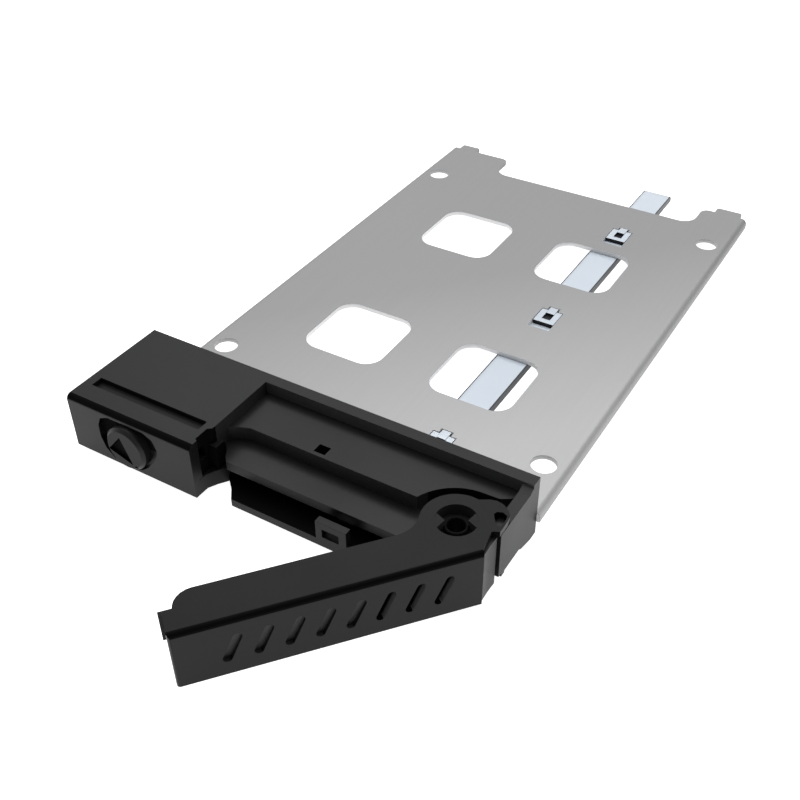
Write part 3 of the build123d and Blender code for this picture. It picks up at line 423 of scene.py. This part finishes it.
def edge_line():
    """Painted dark line along a clear bar's long edges and its far end, for its dark inner reflection."""
    inputs = [
        ("Colour", "NodeSocketColor", MID_GREY),
        ("Edge Colour", "NodeSocketColor", MID_GREY),
    ]
    group, start, end = new_group("edge_line", inputs, [("Colour", "NodeSocketColor")])
    parts = add_node(group, "ShaderNodeSeparateXYZ", {"Vector": object_place(group)}).outputs
    side_start = (PIPE_HALF_WIDTH - EDGE_LINE_WIDTH) * MM
    end_start = (PIPE_BACK + FRONT_HOLES_Y - EDGE_LINE_WIDTH) * MM
    aside = calculate(group, "ABSOLUTE", calculate(group, "SUBTRACT", parts["X"], PIPE_X * MM))
    on_side = calculate(group, "GREATER_THAN", aside, side_start)
    on_end = calculate(group, "GREATER_THAN", parts["Y"], end_start)
    on_line = calculate(group, "MAXIMUM", on_side, on_end)
    group.links.new(mix_colours(group, on_line, start["Colour"], start["Edge Colour"]), end["Colour"])
    return group


GRAIN = moulded_grain()
SLOPE = painted_light_slope()
EDGE_LINE = edge_line()
DRIFT = colour_drift()
ROLLED = rolled_lines()


# Materials


def new_material(name):
    """A material, its node tree and its shader's inputs, ready to be wired."""
    material = bpy.data.materials.new(name)
    material.use_nodes = True
    tree = material.node_tree
    return material, tree, tree.nodes["Principled BSDF"].inputs


def place_group(tree, group, **values):
    """A node group in a material, with its own values; an underscore stands for a space."""
    node = tree.nodes.new("ShaderNodeGroup")
    node.node_tree = group
    for label, value in values.items():
        node.inputs[label.replace("_", " ")].default_value = value
    return node


def place_grain(tree, grain, gloss):
    """The grain group with a surface's grain and gloss."""
    scale, depth = grain
    low, high = gloss
    node = place_group(tree, GRAIN, Grain_Scale=scale, Grain_Depth=depth, Gloss_Low=low, Gloss_High=high)
    return node.outputs


def place_drift(tree, colour, drift, scale):
    """The colour group with a colour and its lighter or darker neighbour."""
    second = tuple(min(1.0, share * drift) for share in colour[:3]) + (1.0,)
    node = place_group(tree, DRIFT, Colour_One=colour, Colour_Two=second, Scale=scale)
    return node.outputs["Colour"]


def wire_surface(tree, shader, colour, surface):
    """Join a colour, a gloss and a grain to a material's shader."""
    tree.links.new(colour, shader["Base Color"])
    tree.links.new(surface["Roughness"], shader["Roughness"])
    tree.links.new(surface["Normal"], shader["Normal"])


def black_plastic(name, colour, grain, gloss, specular=PLASTIC_SPECULAR):
    """Moulded plastic with fine grain."""
    material, tree, shader = new_material(name)
    drift = place_drift(tree, colour, PLASTIC_DRIFT, PLASTIC_DRIFT_SCALE)
    wire_surface(tree, shader, drift, place_grain(tree, grain, gloss))
    shader["Specular IOR Level"].default_value = specular
    return material


def lit_slot_wall(name, dark, light):
    """Painted light on the deep slots' walls that face the tip, with painted shade farther in than the
    grip's own wall.
    """
    material, tree, shader = new_material(name)
    outward = Vector((LEVER_SIN, -LEVER_COS, 0.0))
    pivot = Vector((PIVOT_X, PIVOT_Y + FRONT_HOLES_Y, 0.0))
    strip = [(pivot.dot(outward) + edge) * MM for edge in (LIT_WALL_FROM, LIT_WALL_TO)]
    depth = along_direction(tree, object_place(tree), outward)
    colour = mix_colours(tree, spread(tree, depth, strip, (0.0, 1.0)), dark, light)
    wire_surface(tree, shader, colour, place_grain(tree, COVER_GRAIN, LIT_SLOT_GLOSS))
    shader["Specular IOR Level"].default_value = LIT_SLOT_SPECULAR
    return material


def sheet_steel(name, colour, second_colour, metallic):
    """Zinc-coated sheet with faint rolling lines, and a slope of painted light between its two colours."""
    material, tree, shader = new_material(name)
    scale, depth = STEEL_LINES
    low, high = STEEL_GLOSS
    lines = place_group(tree, ROLLED, Line_Scale=scale, Line_Depth=depth, Gloss_Low=low, Gloss_High=high)
    slope = place_group(tree, SLOPE, Colour_One=colour, Colour_Two=second_colour)
    wire_surface(tree, shader, slope.outputs["Colour"], lines.outputs)
    shader["Metallic"].default_value = metallic
    return material


def small_metal(name, colour, gloss):
    """Plated or hardened metal of small parts."""
    material, tree, shader = new_material(name)
    drift = place_drift(tree, colour, METAL_DRIFT, METAL_DRIFT_SCALE)
    wire_surface(tree, shader, drift, place_grain(tree, METAL_GRAIN, gloss))
    shader["Metallic"].default_value = SMALL_METAL_SHARE
    return material


def clear_plastic(name, colour, transmission, specular):
    """Clear plastic of the light pipe, with painted dark lines along its edges."""
    material, tree, shader = new_material(name)
    grain = place_grain(tree, CLEAR_GRAIN, CLEAR_GLOSS)
    edges = place_group(tree, EDGE_LINE, Edge_Colour=CLEAR_EDGE_PAINTED_REFLECTION)
    tree.links.new(place_drift(tree, colour, CLEAR_DRIFT, CLEAR_DRIFT_SCALE), edges.inputs["Colour"])
    tree.links.new(edges.outputs["Colour"], shader["Base Color"])
    tree.links.new(grain["Roughness"], shader["Roughness"])
    shader["Transmission Weight"].default_value = transmission
    shader["IOR"].default_value = CLEAR_IOR
    shader["Specular IOR Level"].default_value = specular
    return material


BEZEL_PLASTIC = black_plastic("bezel_plastic", BLACK_PLASTIC, BEZEL_GRAIN, BEZEL_GLOSS)
LEVER_PLASTIC = black_plastic("lever_plastic", BLACK_PLASTIC, BEZEL_GRAIN, BEZEL_GLOSS)
COVER_PLASTIC = black_plastic("cover_plastic", BLACK_PLASTIC, COVER_GRAIN, COVER_GLOSS)
KNOB_FACE = black_plastic("knob_plastic", KNOB_PLASTIC, KNOB_GRAIN, WALL_GLOSS, specular=0.14)
# Painted light on the knob's round side
KNOB_SIDE = black_plastic("knob_side", KNOB_SIDE_PAINTED_LIGHT, KNOB_GRAIN, WALL_GLOSS, specular=0.2)
# Painted shade on the lever's flat top
LEVER_FLAT = black_plastic("lever_top", LEVER_TOP_PAINTED_SHADE, BEZEL_GRAIN, BEZEL_GLOSS, specular=0.08)
# Painted dark reflection along the lever's rounded front edge
LEVER_EDGE = black_plastic("lever_edge", PAINTED_SHADE_BLACK, COVER_GRAIN, LEVER_EDGE_GLOSS, specular=0.03)
# Painted shade on the right wall and the lever's end face
SIDE_PAINTED_SHADE = black_plastic("side_painted_shade", SIDE_WALL_PAINTED_SHADE, BEZEL_GRAIN, BEZEL_GLOSS, specular=0.085)
# Painted shade in the block's top slot
TOP_SLOT_SHADE = black_plastic("top_slot_shade", TOP_SLOT_PAINTED_SHADE, COVER_GRAIN, SLOT_GLOSS, specular=0.1)
# Painted light in the shallow grip slots
SLOT_PAINTED_LIGHT = black_plastic("slot_painted_light", SHALLOW_SLOT_PAINTED_LIGHT, COVER_GRAIN, SLOT_GLOSS, specular=0.2)
# Painted light on the deep slots' walls that face the tip, painted shade farther in
SLOT_LIGHT = lit_slot_wall("slot_light", PAINTED_SHADE_BLACK, LIT_SLOT_PAINTED_LIGHT)
# Painted light on the recess walls and in the counterbore
RECESS_LIGHT = black_plastic("recess_light", RECESS_WALL_PAINTED_LIGHT, BEZEL_GRAIN, WALL_GLOSS, specular=0.2)
# Painted light on the rim's front side
RIM_LIGHT = black_plastic("rim_light", RIM_WALL_PAINTED_LIGHT, BEZEL_GRAIN, WALL_GLOSS, specular=0.2)
# Painted shade behind the hub and on the shelf's front edge
HALF_DARK = black_plastic("half_dark", PAINTED_SHADE_BLACK, COVER_GRAIN, HALF_DARK_GLOSS, specular=0.14)
# Painted shade in pockets, openings, gaps, deep slots and the knob's arrow
DARK_INSIDE = black_plastic("dark_inside", PAINTED_SHADE_BLACK, COVER_GRAIN, DULL_GLOSS, specular=0.03)
LOCK_PLASTIC = black_plastic("lock_plastic", LOCK_BLACK, LOCK_GRAIN, SLOT_GLOSS, specular=0.05)
NYLON = black_plastic("washer_nylon", NYLON_CREAM, LOCK_GRAIN, LIT_SLOT_GLOSS)
PIN_METAL = black_plastic("pin_black", PIN_BLACK, PIN_GRAIN, SLOT_GLOSS, specular=0.06)
# Sheet steel with a slope of painted light towards the right front
STEEL = sheet_steel("sheet_steel", STEEL_GREY, STEEL_PAINTED_LIGHT, metallic=0.55)
# Painted light on the sheet's cut edges and drive hole walls
STEEL_EDGE = sheet_steel("cut_steel_edge_painted_light", CUT_STEEL_PAINTED_LIGHT, CUT_STEEL_DULL_PAINTED_LIGHT, metallic=0.2)
STEEL_HOLE = sheet_steel("drive_hole_edge_painted_light", HOLE_STEEL_PAINTED_LIGHT, HOLE_STEEL_DULL_PAINTED_LIGHT, metallic=0.3)
CLEAR = clear_plastic("clear_plastic", CLEAR_TINT, transmission=0.25, specular=0.5)
# Painted dark reflection on the clear bar's sides
CLEAR_SIDES_PAINTED_REFLECTION = clear_plastic("clear_sides_painted_reflection", CLEAR_EDGE_PAINTED_REFLECTION, transmission=0.0, specular=0.06)
SCREW_METAL = small_metal("screw_steel", SCREW_ZINC, SCREW_GLOSS)
SPRING_METAL = small_metal("spring_steel", SPRING_GREY, SPRING_GLOSS)

# Look of each CAD solid; the screws, which aren't named here, are plated steel
SOLID_LOOKS = {
    "bezel_body": BEZEL_PLASTIC,
    "bezel_bottom_cover": COVER_PLASTIC,
    "tray_plate": STEEL,
    "light_pipe": CLEAR,
    "ejector_lever": LEVER_PLASTIC,
    "lever_pivot_pin": PIN_METAL,
    "pivot_washer": NYLON,
    "pivot_retaining_ring": SPRING_METAL,
    "lock_knob": KNOB_FACE,
    "knob_spring_washer": SPRING_METAL,
    "lock_cam": LOCK_PLASTIC,
    "lock_bolt": LOCK_PLASTIC,
}


# Faces given painted light or shade: each test takes a face's place and normal


def within(place, limits):
    """True for a place between a region's limits."""
    return all(low < value < high for value, (low, high) in zip(place, limits))


def lever_place(place):
    """Place on the open lever: along it from the hinge, out towards its grip, and up."""
    x, y, z = place
    across = x - PIVOT_X
    back = y - PIVOT_Y
    return -across * LEVER_COS - back * LEVER_SIN, across * LEVER_SIN - back * LEVER_COS, z


def facing_tip(normal):
    """Share of a face's normal that points along the open lever towards its tip."""
    return -normal.x * LEVER_COS - normal.y * LEVER_SIN


def in_bezel_shadow(place, normal):
    """Walls of the tip pocket, the knob's opening, the square hole, the groove and the inside, painted
    with shade.
    """
    pocket = (within(place, TIP_POCKET) or within(place, POCKET_POST)) and normal.z < SLOPING
    opening = within(place, KNOB_OPENING) or within(place, SQUARE_HOLE)
    inside = within(place, BEZEL_INSIDE) and normal.z < -UPRIGHT
    groove = within(place, CORNER_GROOVE) and normal.y > -UPRIGHT
    return pocket or opening or inside or groove


def is_behind_hub(place):
    """Curved wall that runs round the lever's hub."""
    reach = math.hypot(place[0] - PIVOT_X, place[1] - PIVOT_Y)
    return within(place, HUB_SURROUND) and reach < HUB_SURROUND_REACH


def in_bezel_half_shadow(place, normal):
    """The wall behind the hub and the shelf's front edge, which see little light, painted with shade."""
    behind_hub = is_behind_hub(place) and normal.z < SLOPING and normal.y < LEANING
    shelf_edge = within(place, SHELF_LINE) and LEANING < normal.z < LEVEL
    return (behind_hub or shelf_edge) and not in_bezel_shadow(place, normal)


def in_top_slot(place, normal):
    """Narrow sunk slot along the block's top, painted with shade."""
    return within(place, TOP_SLOT)


def on_recess_wall(place, normal):
    """Walls of the recess, with painted light for the light which its floor throws back."""
    front_wall = within(place, RECESS_WALLS) and normal.y < LEANING and abs(normal.z) < UPRIGHT
    block_wall = within(place, BLOCK_SIDE) and normal.x > UPRIGHT
    shaded = is_behind_hub(place) or in_bezel_shadow(place, normal)
    return (front_wall or block_wall) and not shaded


def on_rim_wall(place, normal):
    """Front side of the raised rim at the recess's back, lightened with painted light."""
    return within(place, RIM_FRONT) and normal.y < -NEARLY_LEVEL


def on_right_wall(place, normal):
    """Outer side of the right corner wall, painted with shade."""
    return within(place, RIGHT_WALL) and normal.x > STEEP


def in_lever_shadow(place, normal):
    """Inside of the three deep grip slots, and the tooth's edge, painted with shade."""
    place = lever_place(place)
    slot = within(place, DEEP_SLOTS) and facing_tip(normal) <= UPRIGHT
    tooth = within(place, TOOTH) and (abs(normal.z) < SLOPING or within(place, TOOTH_FOOT))
    return slot or tooth


def on_lever_edge(place, normal):
    """Rounded edge between the lever's top and its grip, with a painted dark reflection."""
    return within(lever_place(place), GRIP_EDGE) and EDGE_LEANING < normal.z < LEVEL


def in_shallow_slot(place, normal):
    """Floors and darker walls of the shallow grip slots, lightened with painted light."""
    return within(lever_place(place), SHALLOW_SLOTS) and facing_tip(normal) <= UPRIGHT


def on_slot_bright_side(place, normal):
    """Walls of the deep grip slots that face the tip, painted with light."""
    return within(lever_place(place), DEEP_SLOTS) and facing_tip(normal) > UPRIGHT


def in_counterbore(place, normal):
    """Counterbore round the hinge pin, lightened with painted light."""
    along, out, _ = lever_place(place)
    return within(place, COUNTERBORE) and math.hypot(along, out) < COUNTERBORE_REACH


def on_lever_top(place, normal):
    """Flat top of the lever, painted with shade."""
    return within(place, LEVER_TOP) and normal.z > LEVEL


def on_lever_end(place, normal):
    """End face of the lever's grip beside the hinge, painted with shade."""
    return within(lever_place(place), LEVER_END) and facing_tip(normal) < -UPRIGHT


def on_cover_top(place, normal):
    """Upper side of the bottom cover, which lies in the dark gap, painted with shade."""
    return within(place, COVER_TOP) and normal.z > COVER_BEND


def on_knob_side(place, normal):
    """Round side of the knob, with painted light for the light of the floor."""
    return within(place, KNOB_BEHIND_FACE) and abs(normal.y) < STEEP


def in_knob_arrow(place, normal):
    """Sunk arrow in the knob's face, painted with shade."""
    reach = math.hypot(place[0] - KNOB_X, place[2] - KNOB_Z)
    return within(place, KNOB_ARROW) and reach < KNOB_ARROW_REACH


def is_cut_edge(place, normal):
    """Cut walls of the sheet's windows and clip holes: partly the bare steel of the cut, partly painted
    light.
    """
    return within(place, SHEET_CUTS) and abs(normal.z) < UPRIGHT


def is_drive_hole(place, normal):
    """Walls of the four drive holes, left and right, lightened with painted light."""
    x, y, z = place
    return within((abs(x), y, z), DRIVE_HOLES) and abs(normal.z) < UPRIGHT


def is_pipe_side(place, normal):
    """Sides, ends and hook pockets of the clear bar, painted dark for their inner reflection."""
    hook_pocket = within(place, HOOK_POCKETS) and normal.z > NEARLY_LEVEL
    return abs(normal.z) < LEVEL or hook_pocket


# Pieces


def select_only(piece):
    """Make one object the active and only selected one."""
    bpy.ops.object.select_all(action="DESELECT")
    piece.select_set(True)
    bpy.context.view_layer.objects.active = piece


def paint(piece, material):
    """Give a piece one material."""
    piece.data.materials.clear()
    piece.data.materials.append(material)


def rounded_copy(node, name, body, rounding, segments=2):
    """A copy of a CAD solid, in its own look, with sharp edges rounded as a mould or press leaves them."""
    piece = bpy.data.objects.new(name, NODES[node].data.copy())
    bpy.context.scene.collection.objects.link(piece)
    select_only(piece)
    bpy.ops.object.mode_set(mode="EDIT")
    bpy.ops.mesh.select_all(action="SELECT")
    bpy.ops.mesh.remove_doubles(threshold=MERGE_DISTANCE)
    bpy.ops.mesh.dissolve_limited(angle_limit=FLAT_ANGLE)
    bpy.ops.mesh.select_all(action="DESELECT")
    bpy.ops.object.mode_set(mode="OBJECT")
    edges = piece.modifiers.new("rounding", "BEVEL")
    edges.width = rounding * MM
    edges.segments = segments
    edges.limit_method = "ANGLE"
    edges.angle_limit = EDGE_ANGLE
    edges.use_clamp_overlap = True
    edges.miter_outer = "MITER_ARC"
    bpy.ops.object.modifier_apply(modifier="rounding")
    bpy.ops.object.shade_smooth_by_angle(angle=SMOOTH_ANGLE)
    flatten = piece.modifiers.new("flat_faces_stay_flat", "WEIGHTED_NORMAL")
    flatten.mode = "FACE_AREA"
    flatten.weight = FLAT_FACE_WEIGHT
    flatten.keep_sharp = True
    bpy.ops.object.modifier_apply(modifier="flat_faces_stay_flat")
    paint(piece, SOLID_LOOKS[node])
    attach(piece, body)
    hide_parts(node)
    return piece


def add_looks(piece, looks):
    """Give the faces that a test picks a material of their own; later tests go over earlier ones."""
    for material, is_chosen in looks:
        piece.data.materials.append(material)
        last = len(piece.data.materials) - 1
        for face in piece.data.polygons:
            x, y, z = face.center / MM
            if is_chosen((x, y - FRONT_HOLES_Y, z), face.normal):
                face.material_index = last


def bezel():
    """Moulded bezel, with painted shade in its openings, hollows and top slot and on its right wall, and
    painted light on its recess and rim walls.
    """
    piece = rounded_copy("bezel_body", "bezel_shell", "tray", BEZEL_ROUNDING)
    looks = [
        (DARK_INSIDE, in_bezel_shadow),
        (HALF_DARK, in_bezel_half_shadow),
        (TOP_SLOT_SHADE, in_top_slot),
        (RECESS_LIGHT, on_recess_wall),
        (RIM_LIGHT, on_rim_wall),
        (SIDE_PAINTED_SHADE, on_right_wall),
    ]
    add_looks(piece, looks)


def lever():
    """Ejector lever, with painted light and shade on its grip slots, counterbore, top and end, and a
    painted dark reflection along its front edge.
    """
    piece = rounded_copy("ejector_lever", "lever_moulding", "lever", LEVER_ROUNDING)
    looks = [
        (DARK_INSIDE, in_lever_shadow),
        (LEVER_EDGE, on_lever_edge),
        (SLOT_PAINTED_LIGHT, in_shallow_slot),
        (SLOT_LIGHT, on_slot_bright_side),
        (RECESS_LIGHT, in_counterbore),
        (LEVER_FLAT, on_lever_top),
        (SIDE_PAINTED_SHADE, on_lever_end),
    ]
    add_looks(piece, looks)


def cover():
    """Bottom cover of the bezel, with painted shade on its upper side."""
    piece = rounded_copy("bezel_bottom_cover", "cover_moulding", "tray", COVER_ROUNDING)
    add_looks(piece, [(DARK_INSIDE, on_cover_top)])


def knob():
    """Lock knob, with painted light on its side and painted shade in its arrow."""
    piece = rounded_copy("lock_knob", "knob_moulding", "knob", KNOB_ROUNDING, segments=3)
    add_looks(piece, [(KNOB_SIDE, on_knob_side), (DARK_INSIDE, in_knob_arrow)])


def plate():
    """Sheet-steel plate, with painted light on its cut edges and drive hole walls."""
    piece = rounded_copy("tray_plate", "plate_sheet", "tray", PLATE_ROUNDING)
    add_looks(piece, [(STEEL_EDGE, is_cut_edge), (STEEL_HOLE, is_drive_hole)])


def light_pipe():
    """Clear light pipe, with a painted dark reflection on its sides."""
    piece = rounded_copy("light_pipe", "pipe_bar", "tray", PIPE_ROUNDING)
    add_looks(piece, [(CLEAR_SIDES_PAINTED_REFLECTION, is_pipe_side)])


def pin_rim():
    """Rolled rim of the hollow pin, raised round its bore."""
    first_radius, first_height = RIM_PROFILE[0]
    x, y = PIVOT_X * MM, (PIVOT_Y + FRONT_HOLES_Y) * MM
    bpy.ops.object.select_all(action="DESELECT")
    bpy.ops.mesh.primitive_circle_add(
        vertices=RIM_CORNERS, radius=first_radius * MM, location=(x, y, first_height * MM)
    )
    rim = bpy.context.active_object
    rim.name = "pin_rolled_rim"
    bpy.ops.object.transform_apply(location=True, rotation=True, scale=True)
    bpy.ops.object.mode_set(mode="EDIT")
    bpy.ops.mesh.select_all(action="SELECT")
    for (radius, height), (next_radius, next_height) in zip(RIM_PROFILE, RIM_PROFILE[1:]):
        rise = (0.0, 0.0, (next_height - height) * MM)
        growth = next_radius / radius
        bpy.ops.mesh.extrude_edges_move(TRANSFORM_OT_translate={"value": rise})
        bpy.ops.transform.resize(value=(growth, growth, 1.0), center_override=(x, y, 0.0))
    bpy.ops.mesh.select_all(action="SELECT")
    bpy.ops.mesh.normals_make_consistent(inside=False)
    bpy.ops.mesh.select_all(action="DESELECT")
    bpy.ops.object.mode_set(mode="OBJECT")
    bpy.ops.object.shade_smooth_by_angle(angle=RIM_SMOOTH_ANGLE)
    paint(rim, PIN_METAL)
    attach(rim, "tray")


def dress_solids():
    """Better materials for the CAD solids."""
    for name, solid in NODES.items():
        for place in solid.material_slots:
            place.material = SOLID_LOOKS.get(name, SCREW_METAL)


# Camera, floor and lights


def photo_camera():
    """Camera at the photograph's viewing place."""
    heading = math.radians(CAMERA_HEADING)
    drop = math.radians(CAMERA_DROP)
    roll = math.radians(CAMERA_ROLL)
    level = math.cos(drop)
    ahead = Vector((math.sin(heading) * level, math.cos(heading) * level, -math.sin(drop)))
    right = Vector((math.cos(heading), -math.sin(heading), 0.0))
    down = ahead.cross(right)
    right_rolled = right * math.cos(roll) - down * math.sin(roll)
    down_rolled = right * math.sin(roll) + down * math.cos(roll)
    turn = Matrix((right_rolled, -down_rolled, -ahead)).transposed()
    data = bpy.data.cameras.new("photo_camera")
    data.lens = CAMERA_LENS
    data.sensor_width = CAMERA_SENSOR
    data.clip_start = CAMERA_NEAREST
    data.clip_end = CAMERA_FARTHEST
    camera = bpy.data.objects.new("photo_camera", data)
    camera.matrix_world = Matrix.Translation(CAMERA_PLACE) @ turn.to_4x4()
    bpy.context.scene.collection.objects.link(camera)
    bpy.context.scene.camera = camera


def soft_light(name, place, target, size, power):
    """A square soft light aimed at a point."""
    data = bpy.data.lights.new(name, "AREA")
    data.size = size
    data.energy = power
    lamp = bpy.data.objects.new(name, data)
    lamp.location = place
    lamp.rotation_euler = (Vector(target) - Vector(place)).to_track_quat("-Z", "Y").to_euler()
    bpy.context.scene.collection.objects.link(lamp)


def studio_floor():
    """Pale floor that gives a little light of its own, just below the object."""
    lowest = CAD_BOX[0][2]
    bpy.ops.object.select_all(action="DESELECT")
    bpy.ops.mesh.primitive_plane_add(size=FLOOR_SIZE, location=(0.0, 0.0, lowest - FLOOR_GAP))
    floor = bpy.context.active_object
    floor.name = "floor"
    material, _, shader = new_material("floor_pale")
    shader["Base Color"].default_value = MID_GREY
    shader["Roughness"].default_value = FLOOR_ROUGHNESS
    shader["Emission Color"].default_value = WHITE
    shader["Emission Strength"].default_value = 1.0
    paint(floor, material)


def smooth_share(tree, value, start, end):
    """Share that grows softly from 0 to 1 between two values."""
    limits = {"Value": value, "From Min": start, "From Max": end}
    node = add_node(tree, "ShaderNodeMapRange", limits, interpolation_type="SMOOTHSTEP")
    return node.outputs["Result"]


def surroundings():
    """White surroundings that are darker on the viewer's side, below the overhead lamp."""
    world = bpy.data.worlds.new("studio_world")
    bpy.context.scene.world = world
    world.use_nodes = True
    tree = world.node_tree
    direction = add_node(tree, "ShaderNodeTexCoord").outputs["Generated"]
    height = add_node(tree, "ShaderNodeSeparateXYZ", {"Vector": direction}).outputs["Z"]
    depth = along_direction(tree, direction, DARK_SIDE_DIRECTION)
    towards_front = smooth_share(tree, depth, DARK_SIDE_BLEND, -DARK_SIDE_BLEND)
    below_lamp = smooth_share(tree, height, OVERHEAD_FROM, OVERHEAD_TO)
    dark_share = calculate(tree, "MULTIPLY", towards_front, below_lamp)
    back = tree.nodes["Background"].inputs
    back["Strength"].default_value = 1.0
    tree.links.new(mix_colours(tree, dark_share, WHITE, DARK_SIDE), back["Color"])


dress_solids()
bezel()
lever()
cover()
knob()
pin_rim()
plate()
light_pipe()
photo_camera()
studio_floor()
surroundings()
soft_light("low_right", **LOW_LAMP)
soft_light("overhead", **OVERHEAD_LAMP)
bpy.context.scene.view_settings.view_transform = "Standard"
